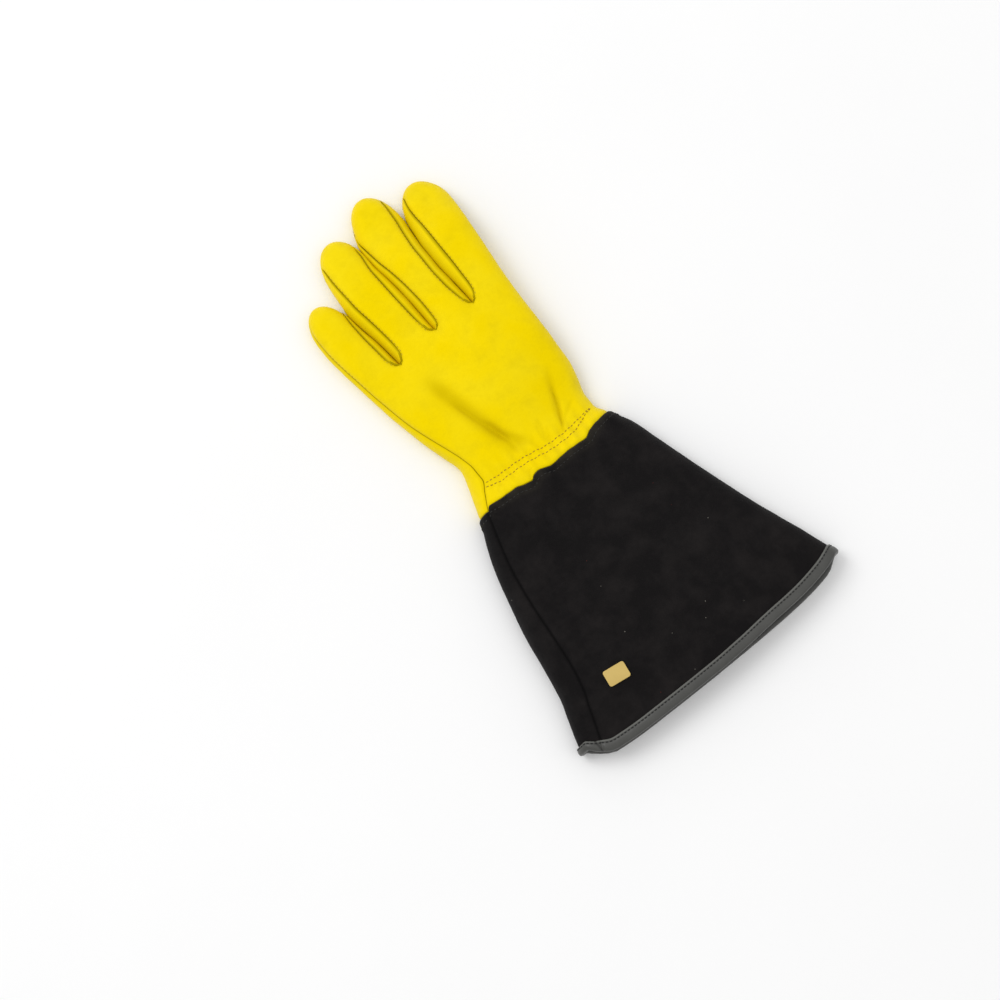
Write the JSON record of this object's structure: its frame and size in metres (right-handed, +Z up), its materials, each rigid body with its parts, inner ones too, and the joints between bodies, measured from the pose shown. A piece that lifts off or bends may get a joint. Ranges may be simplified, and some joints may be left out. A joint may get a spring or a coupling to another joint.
{
  "type": "leather gauntlet safety glove",
  "caption": "Left-hand yellow leather work glove with a long flared black suede gauntlet cuff and a bound hem, lying palm down.",
  "frame": {"origin": "middle of the glove's bounding box in plan, at the surface it lies on", "axes": "+Y from the hem to the fingertips, +X towards the thumb side, +Z up out of the back of the hand"},
  "size_m": [0.2172, 0.4016, 0.0281],
  "materials": {
    "yellow_leather": "smooth soft grain leather, satin",
    "black_suede": "matt napped suede",
    "binding_leather": "smooth black leather with a soft gloss",
    "tab": "plain gold-coloured tab, satin"
  },
  "bodies": {
    "root": {"back_panel": "yellow_leather", "palm_panel": "yellow_leather", "ring_finger_front": "yellow_leather", "middle_finger_front": "yellow_leather", "fourchette_little_ring": "yellow_leather", "fourchette_ring_middle": "yellow_leather", "fourchette_middle_index": "yellow_leather", "thumb": "yellow_leather", "cuff": "black_suede", "hem_binding": "binding_leather", "cuff_tab": "tab"}
  },
  "joints": []
}
